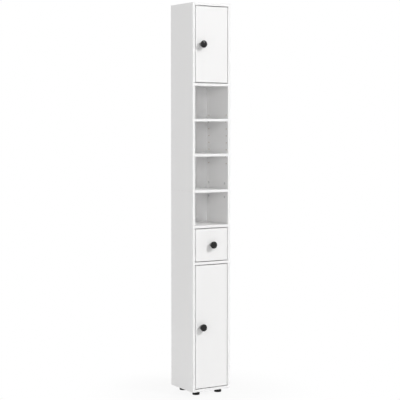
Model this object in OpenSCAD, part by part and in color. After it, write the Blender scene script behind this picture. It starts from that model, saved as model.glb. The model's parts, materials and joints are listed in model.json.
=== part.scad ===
// Tall, narrow bathroom cabinet of white boards: a lower cupboard, a drawer, four open bays and an
// upper cupboard. Inset doors hang on the right, and black knobs and feet finish it.
// The origin is under the middle of the whole cabinet, on the floor. The front looks along -Y.

/* [Carcass] */
// Outer width, from side face to side face
cabinet_w = 200; // [190:5:260]
// Outer depth of the body, without the knobs
cabinet_d = 200; // [190:5:260]
// Height of the body above its feet
body_h = 1780; // [1700:10:1860]
// Thickness of every side, shelf and drawer board
board_t = 12; // [12:0.5:15]
// Clear height of the lower cupboard
lower_cupboard_h = 576; // [500:4:620]
// Clear height of the drawer opening
drawer_opening_h = 156; // [144:2:180]
// Clear height of the upper cupboard
upper_cupboard_h = 351; // [300:1:400]

/* [Back panels] */
// Thickness of the two back panels and of the drawer bottom
panel_t = 3; // [2.5:0.5:4]
// Distance from the rear edge of the sides to the back panels
back_inset = 11.8; // [9:0.2:15]
// Depth of every groove that holds a thin panel
groove_depth = 5; // [4:0.5:6]
// Height of the strip that joins the two back panels behind the middle shelf
joiner_h = 11; // [9:0.5:12]
// Wall of that strip
joiner_t = 1; // [0.8:0.1:1.4]

/* [Doors and drawer front] */
// Thickness of the doors and the drawer front
front_t = 12; // [12:0.5:15]
// Gap all round the doors and the drawer front
front_gap = 3.7; // [2.8:0.1:4.3]

/* [Knobs] */
// Widest diameter of a knob
knob_d = 33.5; // [27:0.5:38]
// Reach of a knob in front of its door
knob_reach = 27; // [24:0.5:32]
// Diameter of a knob where it meets its door
knob_neck_d = 20; // [16:0.5:23]
// Length of the straight neck
knob_neck_len = 1; // [0.5:0.5:4]
// Radius of the knob's rim
knob_rim_r = 2; // [1.2:0.2:3]
// Rise of the knob's crown above its rim
knob_crown = 3.6; // [2:0.2:5]
// Distance of a door knob's axis from the left side face
knob_inset = 46; // [38:1:60]
// Depth of the thread in a knob
knob_thread = 11; // [8:0.5:14]

/* [Feet] */
// Height of a foot
foot_h = 20; // [16:1:30]
// Diameter of a foot under the body
foot_top_d = 35; // [30:1:40]
// Diameter of a foot at the floor, with its rounding
foot_bottom_d = 34; // [29:1:39]
// Radius of the rounding at the floor
foot_round = 1.5; // [1:0.25:2.5]
// Distance of a foot's axis from the side, front and rear faces
foot_inset = 41; // [34:1:50]
// Height of the seat inside a foot for its screw
foot_seat = 12; // [9:1:13]

/* [Shelves] */
// Pitch of the holes for shelf pins
hole_pitch = 32; // [30:1:34]
// Rise of the open holes' middle above the level that divides the bays evenly
hole_raise = 1.75; // [0:0.25:4]
// Diameter of a shelf pin
pin_d = 5; // [4:0.5:6]
// Length of a shelf pin inside the side panel
pin_in = 8.5; // [7:0.5:9]
// Length of a shelf pin under its shelf
pin_out = 7; // [5:0.5:10]
// Distance of the front column of holes from the front
hole_front = 15; // [12:1:20]
// Distance of the rear column of holes from the front
hole_rear = 168; // [150:1:170]
// Gap at each end of a loose shelf
shelf_gap = 0.5; // [0.3:0.1:0.9]
// Setback of a cupboard shelf behind the back of its door
shelf_setback = 8; // [5:1:20]

/* [Board joints] */
// Diameter of a cam
cam_d = 12; // [11:0.5:14]
// Distance from a board's end to the centre of its cam
cam_reach = 24; // [20:1:30]
// Distance of the front and rear cams from the front and rear faces
cam_inset = 50; // [46:1:60]
// Diameter of a wooden dowel
dowel_d = 6; // [5:0.5:7]
// Length of a dowel in the board's end
dowel_in_board = 17; // [12:1:22]
// Length of a dowel or a cam bolt's thread in the side panel
thread_in = 9; // [7:0.5:9.5]
// Distance of the cams from the joint between the lower and upper side panels
joint_reach = 31.6; // [28:0.4:36]
// Distance of the front joint bolt from the front
joint_front = 29; // [27:1:36]
// Distance of the rear joint bolt from the rear
joint_rear = 30; // [28:1:36]
// Distance of the middle shelf's pins from the front and the rear
middle_pin_inset = 58; // [54:1:70]

/* [Hinges] */
// Distance from a door's end to the centre of its hinge
hinge_end = 60; // [50:1:80]
// Diameter of a hinge cup
cup_d = 26; // [25:0.5:27]
// Wall of a hinge cup
cup_wall = 1; // [0.8:0.1:1.2]
// Board left in front of a hinge cup
cup_skin = 2; // [1.5:0.1:2.4]
// Distance of the cup's centre from the door's edge
cup_edge = 17; // [16.5:0.1:18]
// Distance of the hinge pin from the door's edge
pin_edge = 10; // [9:0.2:11]
// Distance of the hinge pin behind the door's front face
pin_back = 6; // [5.8:0.1:6.2]
// Diameter of the hinge pin
hinge_pin_d = 2.4; // [2:0.1:2.6]
// Outer diameter of the arm's eye
eye_d = 4.6; // [4.2:0.1:5]
// Thickness of the hinge arm
arm_t = 1.5; // [1.2:0.1:2]
// Width of the hinge arm
arm_w = 10; // [8:0.5:12]
// Distance of the plate's screws from the front
plate_setback = 37; // [35:1:42]
// Rise of the plate's rail above the side panel
plate_h = 4.75; // [4.25:0.25:5]

/* [Catches] */
// Width of a magnetic catch's housing
catch_w = 24; // [20:1:30]
// Depth of a catch's housing
catch_d = 14; // [11:0.5:16]
// Height of a catch's housing
catch_h = 13; // [12:0.5:15]
// Distance of a catch's centre from the left side panel
catch_in = 26; // [24:1:36]
// Thickness of the strike plate on the door
strike_t = 1.2; // [0.8:0.1:1.6]

/* [Drawer] */
// Height of the drawer box
box_h = 110; // [100:1:118]
// Gap under the drawer box
box_lift = 6; // [4:0.5:9]
// Gap behind the drawer box
box_rear_gap = 7; // [5:0.5:12]
// Height of the drawer bottom's groove above the sides' lower edge
bottom_up = 8; // [6:0.5:10]
// Height of a runner
runner_h = 9.4; // [8:0.2:12]
// Reach of a runner into the drawer side's groove
runner_in = 5.2; // [4:0.1:5.5]
// Running gap between a runner and its groove
run_gap = 0.3; // [0.2:0.05:0.5]

/* [Hidden] */
$fn = 40;

// Overrun of every cut past the face that it opens
cut = 1;
// Radial clearance of pins, screws, cams and dowels in their holes
fit = 0.05;
// Gap between a loose shelf and the pins under it
seat_gap = 0.1;
// Thread left free past the end of a screw
screw_spare = 1;
// Play of a thin panel in its groove
panel_play = 0.2;
// Gap left in front of a back panel
panel_gap = 0.3;

// Colours of the materials
white_board = "#f4f4f2";
white_plastic = "#ececea";
black_plastic = "#2b2b2b";
zinc = "#a9abad";
steel = "#c2c4c6";
beech = "#d9bd8f";

// Faces of the body
side_x = cabinet_w / 2 - board_t;
front_y = (knob_reach - cabinet_d) / 2;
rear_y = front_y + cabinet_d;
middle_y = front_y + cabinet_d / 2;
top_z = foot_h + body_h;
panel_y = rear_y - back_inset - panel_t;
groove_w = panel_t + panel_play;
door_back = front_y + front_t;

// Levels of the boards, each by its lower face
bottom_z = foot_h;
lower_floor = bottom_z + board_t;
lower_roof = lower_floor + lower_cupboard_h;
drawer_floor = lower_roof + board_t;
drawer_roof = drawer_floor + drawer_opening_h;
bay_floor = drawer_roof + board_t;
upper_roof = top_z - board_t;
upper_floor = upper_roof - upper_cupboard_h;
divider_z = upper_floor - board_t;
bay_h = (divider_z - bay_floor - 3 * board_t) / 4;
middle_z = bay_floor + bay_h;
joint_z = middle_z + board_t / 2;

// Shelf pins, by the height of their axes
pin_seat = pin_d / 2 + seat_gap;
hole_mid = (middle_z + divider_z) / 2 - pin_seat + hole_raise;
// Whole pitches between the middle of the holes and the hole next to a loose open shelf
shelf_steps = round((bay_h + board_t) / 2 / hole_pitch - 1 / 2);
open_holes = [for (i = [-shelf_steps - 2:shelf_steps + 1]) hole_mid + (i + 1 / 2) * hole_pitch];
low_shelf_pin = open_holes[1];
high_shelf_pin = open_holes[len(open_holes) - 2];
middle_shelf_pin = middle_z - pin_seat;
lower_shelf_pin = (lower_floor + lower_roof) / 2;
upper_shelf_pin = (upper_floor + upper_roof) / 2 - board_t;
cupboard_holes = [for (z = [lower_shelf_pin, upper_shelf_pin], i = [-1:1]) z + i * hole_pitch];
hole_ys = [front_y + hole_front, front_y + hole_rear];
middle_pin_ys = [front_y + middle_pin_inset, panel_y - middle_pin_inset];
cupboard_front = hole_front + front_t + shelf_setback;
cupboard_hole_ys = [front_y + cupboard_front, front_y + hole_rear];

// Cams and the bolts that they draw in
cam_head_d = 6.4;
cam_head_len = 3;
cam_shank_d = 5;
cam_channel_d = 7.2;
cam_floor = 4;
cam_depth = board_t / 2 + cam_floor;
cam_cross = 7;
cam_cross_w = 1.4;
cam_cross_deep = 1;
cam_ys = [front_y + cam_inset, rear_y - cam_inset];
joint_ys = [front_y + joint_front, rear_y - joint_rear];
// Fixed boards: the lower face, and the way their cams open
fixed_boards = [
    [bottom_z, 1], [lower_roof, 1], [drawer_roof, -1], [divider_z, 1], [upper_roof, -1]
];

// Doors: lower and upper ends
lower_door = [lower_floor + front_gap, lower_roof - front_gap];
upper_door = [upper_floor + front_gap, upper_roof - front_gap];
front_x = side_x - front_gap;
door_knob_x = knob_inset - cabinet_w / 2;
knob_screw_d = 4;
knob_head_d = 8;
knob_head_h = 2.4;
lower_knob_z = (lower_floor + lower_roof) / 2;
upper_knob_z = (upper_floor + upper_roof) / 2;
drawer_knob_z = (drawer_floor + drawer_roof) / 2;

// Hinges
cup_x = front_x - cup_edge;
pin_x = front_x - pin_edge;
pin_y = front_y + pin_back;
flange_rim = 2;
flange_d = cup_d + 2 * flange_rim;
flange_t = 1;
cup_screw_spread = 38;
cup_screw_d = 3;
cup_head_d = 5.6;
cup_head_h = 1.6;
screw_depth = 8;
wing_w = 11;
// Half length of the cup's pocket, of the eye in it and of the pin through both
pocket_half = 7.2;
eye_half = 7;
hinge_pin_half = 9;
// Corners of the cranked arm: how far it goes in, out, up and back past the door
crank_in = 8.5;
crank_out = 13.2;
crank_up = 3.5;
crank_back = 3;
crank_over = 8.5;
crank_turn = 4;
run_x = side_x - plate_h - arm_t / 2;
plate_y = front_y + plate_setback;
plate_half = 12;
plate_rail_w = 12;
plate_wing_t = 2;
plate_wing_w = 12;
plate_screw_spread = 32;
plate_screw_d = 3.4;
plate_head_d = 6.5;
arm_screw_d = 3.6;
arm_head_d = 7;
arm_head_h = 1.8;
arm_screw_in = plate_h - screw_spare;
lower_hinges = [lower_door[0] + hinge_end, lower_door[1] - hinge_end];
upper_hinges = [upper_door[0] + hinge_end, upper_door[1] - hinge_end];

// Catches and their strike plates
catch_gap = 0.3;
catch_y = door_back + strike_t + catch_gap;
catch_x = catch_in - side_x;
catch_ear = 9;
catch_ear_t = 2.5;
catch_screw_d = 3;
catch_head_d = 5.6;
catch_head_h = 1.6;
strike_w = 26;
strike_h = 9;
strike_up = 1;
strike_z = front_gap + strike_up + strike_h / 2;
strike_pin_d = 3;
strike_pin_len = 7;

// Drawer
box_z = drawer_floor + box_lift;
box_top = box_z + box_h;
box_rear = panel_y - box_rear_gap;
box_in = front_x - board_t;
bottom_z_in = box_z + bottom_up;
runner_z = box_z + box_h / 2;
runner_x = front_x - runner_in;
runner_groove_h = runner_h + 2 * run_gap;
runner_front = door_back + run_gap;
runner_screw_inset = 25;
runner_screw_d = 3.4;
runner_head_d = 6.5;
runner_screw_ys = [runner_front + runner_screw_inset, box_rear - runner_screw_inset];
// Height of the drawer's cams and back screws from the edges of its sides
drawer_fix_up = 25;
drawer_fix_zs = [box_z + drawer_fix_up, box_top - drawer_fix_up];
back_screw_d = 3.5;
back_head_d = 7;
back_screw_in = 16;
back_screw_len = board_t + back_screw_in;

// Feet and their screws
foot_x = cabinet_w / 2 - foot_inset;
foot_ys = [front_y + foot_inset, rear_y - foot_inset];
foot_bore_d = 10;
foot_screw_d = 4;
foot_head_d = 8;
foot_head_h = 2.5;
foot_screw_in = 9;
foot_screw_len = foot_h - foot_seat + foot_screw_in;

// A box from its lowest to its highest corner
module block(low, high) translate(low) cube(high - low);

// Turns the Z axis of what follows to the direction given and moves it to a point
module aim(at, way)
    translate(at) rotate([0, acos(way[2]), atan2(way[1], way[0])]) children();

// A round bar from a point along a direction
module rod(at, way, d, len) aim(at, way) cylinder(d = d, h = len);

// A hole for such a bar, opened past the face that it starts in
module bore(at, way, d, len) rod(at - way * cut, way, d + 2 * fit, len + cut);

// A countersunk screw whose head is flush with the point
module sunk_screw(at, way, d, head_d, len) {
    head_h = (head_d - d) / 2;
    aim(at, way) {
        cylinder(d1 = head_d, d2 = d, h = head_h);
        cylinder(d = d, h = len - d);
        translate([0, 0, len - d]) cylinder(d1 = d, d2 = d / 3, h = d);
    }
}

module sunk_hole(at, way, d, head_d, len) {
    head_h = (head_d - d) / 2;
    aim(at, way) cylinder(d1 = head_d + 2 * fit, d2 = d + 2 * fit, h = head_h);
    bore(at, way, d, len);
}

// A screw whose head stands on the face at the point
module pan_screw(at, way, d, head_d, head_h, len) {
    rod(at - way * head_h, way, head_d, head_h);
    rod(at, way, d, len);
}

// A cam let into a face: its cross slot shows, and its channel takes the head of a bolt
module cam(at, into, bolt_way) {
    deep = into * board_t / 2;
    difference() {
        rod(at, into, cam_d, cam_depth);
        rod(at + deep - bolt_way * cam_head_d / 2, bolt_way, cam_channel_d, cam_d + cut);
        aim(at, into) for (turn = [0, 90])
            rotate([0, 0, turn]) translate([-cam_cross / 2, -cam_cross_w / 2, -cut])
                cube([cam_cross, cam_cross_w, cam_cross_deep + cut]);
    }
}

// The bolt of a cam: a thread in one board and a headed shank in the other
module cam_bolt(at, way) {
    rod(at - way * thread_in, way, cam_shank_d, thread_in + cam_reach);
    rod(at + way * (cam_reach - cam_head_len / 2), way, cam_head_d, cam_head_len);
}

// Points of an arc, in degrees
function arc(centre, r, from, to, steps) =
    [for (i = [0:steps]) let (a = from + (to - from) * i / steps) centre + r * [cos(a), sin(a)]];

// Outline of a strip of even thickness along a path, with mitred corners
function unit(v) = v / norm(v);
function left_of(v) = [-v[1], v[0]];
function before(path, i) = i > 0 ? unit(path[i] - path[i - 1]) : unit(path[1] - path[0]);
function after(path, i) = i < len(path) - 1 ? unit(path[i + 1] - path[i]) : before(path, i);
function mitre(path, i) =
    let (side = left_of(before(path, i)), lean = unit(side + left_of(after(path, i))))
    lean / (lean * side);
function strip(path, t) = concat(
    [for (i = [0:len(path) - 1]) path[i] + mitre(path, i) * t / 2],
    [for (i = [len(path) - 1:-1:0]) path[i] - mitre(path, i) * t / 2]
);

// Holes in the inner faces of both sides, as distance Y, height Z, diameter and depth
side_holes = concat(
    [for (y = cam_ys, b = fixed_boards) [y, b[0] + board_t / 2, cam_shank_d, thread_in]],
    [for (b = fixed_boards) [middle_y, b[0] + board_t / 2, dowel_d, thread_in]],
    [for (y = hole_ys, z = open_holes) [y, z, pin_d, pin_in]],
    [for (y = cupboard_hole_ys, z = cupboard_holes) [y, z, pin_d, pin_in]],
    [for (y = middle_pin_ys) [y, middle_shelf_pin, pin_d, pin_in]],
    [for (y = joint_ys, up = [-1, 1]) [y, joint_z + up * joint_reach, cam_d, cam_depth]],
    [for (y = runner_screw_ys) [y, runner_z, runner_screw_d, screw_depth]]
);
// Holes in the right side alone, for the plates of the hinges
hinge_holes = [for (z = concat(lower_hinges, upper_hinges), up = [-1, 1])
    [plate_y, z + up * plate_screw_spread / 2, plate_screw_d, screw_depth]];

// A side panel between two heights: 1 is the right side, and -1 the left
module side_panel(side, low, high) {
    holes = side > 0 ? concat(side_holes, hinge_holes) : side_holes;
    inner = side * side_x;
    outer = side * cabinet_w / 2;
    difference() {
        block([min(inner, outer), front_y, low], [max(inner, outer), rear_y, high]);
        for (h = holes) if (h[1] > low && h[1] < high)
            bore([inner, h[0], h[1]], [side, 0, 0], h[2], h[3]);
        groove_low = low > bottom_z ? low - cut : lower_floor - groove_depth;
        groove_high = high < top_z ? high + cut : upper_roof + groove_depth;
        block(
            [min(inner - side * cut, inner + side * groove_depth), panel_y, groove_low],
            [max(inner - side * cut, inner + side * groove_depth), panel_y + groove_w, groove_high]
        );
        for (y = joint_ys)
            translate([side * (side_x + board_t / 2), y, joint_z - joint_reach])
                cylinder(d = cam_channel_d, h = 2 * joint_reach);
    }
}

// A fixed board between the sides, with its cams opening up (1) or down (-1)
module fixed_board(low, opens, rear) {
    mid = low + board_t / 2;
    face = opens > 0 ? low + board_t : low;
    difference() {
        block([-side_x, front_y, low], [side_x, rear, low + board_t]);
        for (side = [-1, 1]) {
            for (y = cam_ys) {
                bore([side * side_x, y, mid], [-side, 0, 0], cam_channel_d, cam_reach);
                bore([side * (side_x - cam_reach), y, face], [0, 0, -opens], cam_d, cam_depth);
            }
            bore([side * side_x, middle_y, mid], [-side, 0, 0], dowel_d, dowel_in_board);
        }
    }
}

// A loose shelf between the sides
module loose_shelf(low, front, rear)
    block([shelf_gap - side_x, front, low], [side_x - shelf_gap, rear, low + board_t]);

// The groove for a back panel in the top or bottom board
module board_groove(low)
    block([-side_x - cut, panel_y, low], [side_x + cut, panel_y + groove_w, low + groove_depth + cut]);

// Pilot holes for a catch under a board
module catch_pilots(roof)
    for (side = [-1, 1])
        bore([catch_x + side * (catch_w + catch_ear) / 2, catch_y + catch_d / 2, roof], [0, 0, 1],
            catch_screw_d, screw_depth);

module left_side_lower() color(white_board) side_panel(-1, bottom_z, joint_z);
module left_side_upper() color(white_board) side_panel(-1, joint_z, top_z);
module right_side_lower() color(white_board) side_panel(1, bottom_z, joint_z);
module right_side_upper() color(white_board) side_panel(1, joint_z, top_z);

module top_board() color(white_board) difference() {
    fixed_board(upper_roof, -1, rear_y);
    board_groove(upper_roof - cut);
    catch_pilots(upper_roof);
}

module bottom_board() color(white_board) difference() {
    fixed_board(bottom_z, 1, rear_y);
    board_groove(lower_floor - groove_depth);
    for (side = [-1, 1], y = foot_ys)
        bore([side * foot_x, y, bottom_z], [0, 0, 1], foot_screw_d, foot_screw_in);
}

module upper_divider() color(white_board) fixed_board(divider_z, 1, panel_y);
module drawer_top_board() color(white_board) fixed_board(drawer_roof, -1, panel_y);

module drawer_bottom_board() color(white_board) difference() {
    fixed_board(lower_roof, 1, panel_y);
    catch_pilots(lower_roof);
}

module middle_shelf() color(white_board)
    loose_shelf(middle_z, front_y, panel_y - joiner_t - panel_gap);

module open_shelf_lower() color(white_board)
    loose_shelf(low_shelf_pin + pin_seat, front_y, panel_y - panel_gap);

module open_shelf_upper() color(white_board)
    loose_shelf(high_shelf_pin + pin_seat, front_y, panel_y - panel_gap);

module lower_cupboard_shelf() color(white_board)
    loose_shelf(lower_shelf_pin + pin_seat, door_back + shelf_setback, panel_y - panel_gap);

module upper_cupboard_shelf() color(white_board)
    loose_shelf(upper_shelf_pin + pin_seat, door_back + shelf_setback, panel_y - panel_gap);

// A back panel between two heights, let into the sides' grooves
module back_panel(low, high) {
    half_w = side_x + groove_depth - shelf_gap;
    block([-half_w, panel_y, low], [half_w, panel_y + panel_t, high]);
}

module back_panel_lower() color(white_board)
    back_panel(lower_floor - groove_depth + panel_gap, joint_z - joiner_t / 2);

module back_panel_upper() color(white_board)
    back_panel(joint_z + joiner_t / 2, upper_roof + groove_depth - panel_gap);

// The strip between the back panels has an H section
module back_joiner() color(white_plastic) {
    half_w = side_x - shelf_gap;
    rear = panel_y + groove_w;
    for (y = [panel_y - joiner_t, rear])
        block([-half_w, y, joint_z - joiner_h / 2], [half_w, y + joiner_t, joint_z + joiner_h / 2]);
    block([-half_w, panel_y - joiner_t, joint_z - joiner_t / 2],
        [half_w, rear + joiner_t, joint_z + joiner_t / 2]);
}

// A foot: tapered and rounded at the floor, with a seat for its screw
module foot(side, y) color(black_plastic) {
    low_r = foot_bottom_d / 2;
    corner = arc([low_r - foot_round, foot_round], foot_round, -90, 0, 6);
    translate([side * foot_x, y, 0]) difference() {
        rotate_extrude() polygon(concat([[0, 0]], corner, [[foot_top_d / 2, foot_h], [0, foot_h]]));
        translate([0, 0, -cut]) cylinder(d = foot_bore_d, h = foot_seat + cut);
        cylinder(d = foot_screw_d + 2 * fit, h = foot_h + cut);
    }
}

module foot_front_left() foot(-1, foot_ys[0]);
module foot_front_right() foot(1, foot_ys[0]);
module foot_rear_left() foot(-1, foot_ys[1]);
module foot_rear_right() foot(1, foot_ys[1]);

module foot_screws() color(steel) for (side = [-1, 1], y = foot_ys)
    pan_screw([side * foot_x, y, foot_seat], [0, 0, 1], foot_screw_d, foot_head_d, foot_head_h,
        foot_screw_len);

module board_cams() color(zinc) for (side = [-1, 1], y = cam_ys, b = fixed_boards) {
    face = b[1] > 0 ? b[0] + board_t : b[0];
    cam([side * (side_x - cam_reach), y, face], [0, 0, -b[1]], [side, 0, 0]);
}

module board_cam_bolts() color(steel) for (side = [-1, 1], y = cam_ys, b = fixed_boards)
    cam_bolt([side * side_x, y, b[0] + board_t / 2], [-side, 0, 0]);

module board_dowels() color(beech) for (side = [-1, 1], b = fixed_boards)
    rod([side * (side_x + thread_in), middle_y, b[0] + board_t / 2], [-side, 0, 0], dowel_d,
        thread_in + dowel_in_board);

module side_joint_cams() color(zinc) for (side = [-1, 1], y = joint_ys, up = [-1, 1])
    cam([side * side_x, y, joint_z + up * joint_reach], [side, 0, 0], [0, 0, -up]);

module side_joint_bolts() color(steel) for (side = [-1, 1], y = joint_ys) {
    at = [side * (side_x + board_t / 2), y, joint_z];
    rod(at - [0, 0, joint_reach], [0, 0, 1], cam_shank_d, 2 * joint_reach);
    for (up = [-1, 1])
        rod(at + [0, 0, up * joint_reach - cam_head_len / 2], [0, 0, 1], cam_head_d, cam_head_len);
}

// Two or four pins on each side at one height
module pins(z, ys) for (side = [-1, 1], y = ys)
    rod([side * (side_x + pin_in), y, z], [-side, 0, 0], pin_d, pin_in + pin_out);

module shelf_pins() color(steel) {
    pins(middle_shelf_pin, middle_pin_ys);
    for (z = [low_shelf_pin, high_shelf_pin]) pins(z, hole_ys);
    for (z = [lower_shelf_pin, upper_shelf_pin]) pins(z, cupboard_hole_ys);
}

arm_path = [
    [pin_x, pin_y],
    [pin_x - crank_in, pin_y],
    [pin_x - crank_out, pin_y + crank_up],
    [pin_x - crank_out, door_back + crank_back],
    [pin_x - crank_in, door_back + crank_over],
    [run_x - crank_turn, door_back + crank_over],
    [run_x, door_back + crank_over + crank_turn],
    [run_x, plate_y + plate_half]
];

module hinge_arms() color(steel) for (z = concat(lower_hinges, upper_hinges)) difference() {
    union() {
        translate([pin_x, pin_y, z - eye_half]) cylinder(d = eye_d, h = 2 * eye_half);
        translate([0, 0, z - arm_w / 2]) linear_extrude(arm_w) polygon(strip(arm_path, arm_t));
    }
    translate([pin_x, pin_y, z - eye_half - cut])
        cylinder(d = hinge_pin_d + 2 * fit, h = 2 * (eye_half + cut));
    bore([run_x - arm_t / 2, plate_y, z], [1, 0, 0], arm_screw_d, arm_t + cut);
}

module hinge_plates() color(steel) for (z = concat(lower_hinges, upper_hinges)) difference() {
    wing_half = (plate_screw_spread + plate_wing_w) / 2;
    union() {
        block([side_x - plate_h, plate_y - plate_half, z - plate_rail_w / 2],
            [side_x, plate_y + plate_half, z + plate_rail_w / 2]);
        block([side_x - plate_wing_t, plate_y - plate_wing_w / 2, z - wing_half],
            [side_x, plate_y + plate_wing_w / 2, z + wing_half]);
    }
    bore([side_x - plate_h, plate_y, z], [1, 0, 0], arm_screw_d, arm_screw_in);
    for (up = [-1, 1])
        sunk_hole([side_x - plate_wing_t, plate_y, z + up * plate_screw_spread / 2], [1, 0, 0],
            plate_screw_d, plate_head_d, plate_wing_t + cut);
}

module hinge_screws() color(steel) for (z = concat(lower_hinges, upper_hinges)) {
    pan_screw([run_x - arm_t / 2, plate_y, z], [1, 0, 0], arm_screw_d, arm_head_d, arm_head_h,
        arm_t + arm_screw_in);
    for (up = [-1, 1])
        sunk_screw([side_x - plate_wing_t, plate_y, z + up * plate_screw_spread / 2], [1, 0, 0],
            plate_screw_d, plate_head_d, plate_wing_t + screw_depth);
}

// A housing with two ears, under the board above the door
module catch(roof) difference() {
    ear_half = catch_w / 2 + catch_ear;
    union() {
        block([catch_x - catch_w / 2, catch_y, roof - catch_h],
            [catch_x + catch_w / 2, catch_y + catch_d, roof]);
        block([catch_x - ear_half, catch_y, roof - catch_ear_t],
            [catch_x + ear_half, catch_y + catch_d, roof]);
    }
    for (side = [-1, 1])
        bore([catch_x + side * (catch_w + catch_ear) / 2, catch_y + catch_d / 2, roof - catch_ear_t],
            [0, 0, 1], catch_screw_d, catch_ear_t + cut);
}

module magnetic_catches() color(white_plastic) for (roof = [lower_roof, upper_roof]) catch(roof);

module catch_screws() color(steel) for (roof = [lower_roof, upper_roof], side = [-1, 1])
    pan_screw([catch_x + side * (catch_w + catch_ear) / 2, catch_y + catch_d / 2, roof - catch_ear_t],
        [0, 0, 1], catch_screw_d, catch_head_d, catch_head_h, catch_ear_t + screw_depth);

module drawer_runners() color(white_plastic) for (side = [-1, 1]) difference() {
    face = side * runner_x;
    wall = side * side_x;
    block([min(face, wall), runner_front, runner_z - runner_h / 2],
        [max(face, wall), box_rear, runner_z + runner_h / 2]);
    for (y = runner_screw_ys)
        sunk_hole([face, y, runner_z], [side, 0, 0], runner_screw_d, runner_head_d, abs(wall - face) + cut);
}

module runner_screws() color(steel) for (side = [-1, 1], y = runner_screw_ys)
    sunk_screw([side * runner_x, y, runner_z], [side, 0, 0], runner_screw_d, runner_head_d,
        side_x - runner_x + screw_depth);

// A door with its cup bores, its knob's hole and the hole for its strike plate
module door_panel(ends, hinges, knob_z) color(white_board) difference() {
    block([-front_x, front_y, ends[0]], [front_x, door_back, ends[1]]);
    for (z = hinges) {
        bore([cup_x, door_back, z], [0, -1, 0], cup_d, front_t - cup_skin);
        for (up = [-1, 1])
            bore([cup_x, door_back, z + up * cup_screw_spread / 2], [0, -1, 0], cup_screw_d, screw_depth);
    }
    bore([door_knob_x, door_back, knob_z], [0, -1, 0], knob_screw_d, front_t + cut);
    bore([catch_x, door_back, ends[1] + front_gap - strike_z], [0, -1, 0], strike_pin_d, strike_pin_len);
}

// A round cup with a rim and two wings, and a flat-sided pocket for the arm's eye
module hinge_cup(z) difference() {
    union() {
        rod([cup_x, door_back, z], [0, -1, 0], cup_d, front_t - cup_skin);
        rod([cup_x, door_back, z], [0, 1, 0], flange_d, flange_t);
        block([cup_x - wing_w / 2, door_back, z - cup_screw_spread / 2],
            [cup_x + wing_w / 2, door_back + flange_t, z + cup_screw_spread / 2]);
        for (up = [-1, 1])
            rod([cup_x, door_back, z + up * cup_screw_spread / 2], [0, 1, 0], wing_w, flange_t);
    }
    intersection() {
        rod([cup_x, front_y + cup_skin + cup_wall, z], [0, 1, 0], cup_d - 2 * cup_wall, front_t + cut);
        block([cup_x - cup_d, front_y, z - pocket_half], [cup_x + cup_d, door_back + flange_t + cut,
            z + pocket_half]);
    }
    translate([pin_x, pin_y, z - hinge_pin_half])
        cylinder(d = hinge_pin_d + 2 * fit, h = 2 * hinge_pin_half);
    for (up = [-1, 1])
        bore([cup_x, door_back + flange_t, z + up * cup_screw_spread / 2], [0, -1, 0], cup_screw_d,
            flange_t + cut);
}

module hinge_pin(z)
    translate([pin_x, pin_y, z - hinge_pin_half]) cylinder(d = hinge_pin_d, h = 2 * hinge_pin_half);

module cup_screws(hinges) for (z = hinges, up = [-1, 1])
    pan_screw([cup_x, door_back + flange_t, z + up * cup_screw_spread / 2], [0, -1, 0], cup_screw_d,
        cup_head_d, cup_head_h, flange_t + screw_depth);

// A knob turned about its axis: a short neck, a straight flare, a round rim, and a crown that is part
// of a ball and runs smoothly into the rim
module knob(x, z) color(black_plastic) {
    r = knob_d / 2;
    neck_r = knob_neck_d / 2;
    rim = [r - knob_rim_r, knob_reach - knob_crown - knob_rim_r];
    ball_r = (rim[0] * rim[0] + knob_crown * (knob_crown + 2 * knob_rim_r)) / (2 * knob_crown);
    ball = [0, knob_reach - ball_r];
    meet = atan2(rim[1] - ball[1], rim[0]);
    crown_steps = 6;
    crown = [for (i = [1:crown_steps]) let (a = meet + (90 - meet) * i / crown_steps)
        ball + ball_r * [cos(a), sin(a)]];
    outline = concat([[0, 0], [neck_r, 0], [neck_r, knob_neck_len]],
        arc(rim, knob_rim_r, -40, meet, 6), crown);
    translate([x, front_y, z]) rotate([90, 0, 0]) difference() {
        rotate_extrude() polygon(outline);
        translate([0, 0, -cut]) cylinder(d = knob_screw_d + 2 * fit, h = knob_thread + cut);
    }
}

module knob_screw(x, z) color(steel)
    pan_screw([x, door_back, z], [0, -1, 0], knob_screw_d, knob_head_d, knob_head_h,
        front_t + knob_thread - screw_spare);

// A thin plate with a peg that is pressed into the door
module strike_plate(roof) color(steel) {
    z = roof - strike_z;
    block([catch_x - strike_w / 2, door_back, z - strike_h / 2],
        [catch_x + strike_w / 2, door_back + strike_t, z + strike_h / 2]);
    rod([catch_x, door_back, z], [0, -1, 0], strike_pin_d, strike_pin_len);
}

module upper_door_panel() door_panel(upper_door, upper_hinges, upper_knob_z);
module upper_hinge_cups() color(steel) for (z = upper_hinges) hinge_cup(z);
module upper_hinge_pins() color(steel) for (z = upper_hinges) hinge_pin(z);
module upper_cup_screws() color(steel) cup_screws(upper_hinges);
module upper_knob() knob(door_knob_x, upper_knob_z);
module upper_knob_screw() knob_screw(door_knob_x, upper_knob_z);
module upper_strike_plate() strike_plate(upper_roof);

module lower_door_panel() door_panel(lower_door, lower_hinges, lower_knob_z);
module lower_hinge_cups() color(steel) for (z = lower_hinges) hinge_cup(z);
module lower_hinge_pins() color(steel) for (z = lower_hinges) hinge_pin(z);
module lower_cup_screws() color(steel) cup_screws(lower_hinges);
module lower_knob() knob(door_knob_x, lower_knob_z);
module lower_knob_screw() knob_screw(door_knob_x, lower_knob_z);
module lower_strike_plate() strike_plate(lower_roof);

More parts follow.
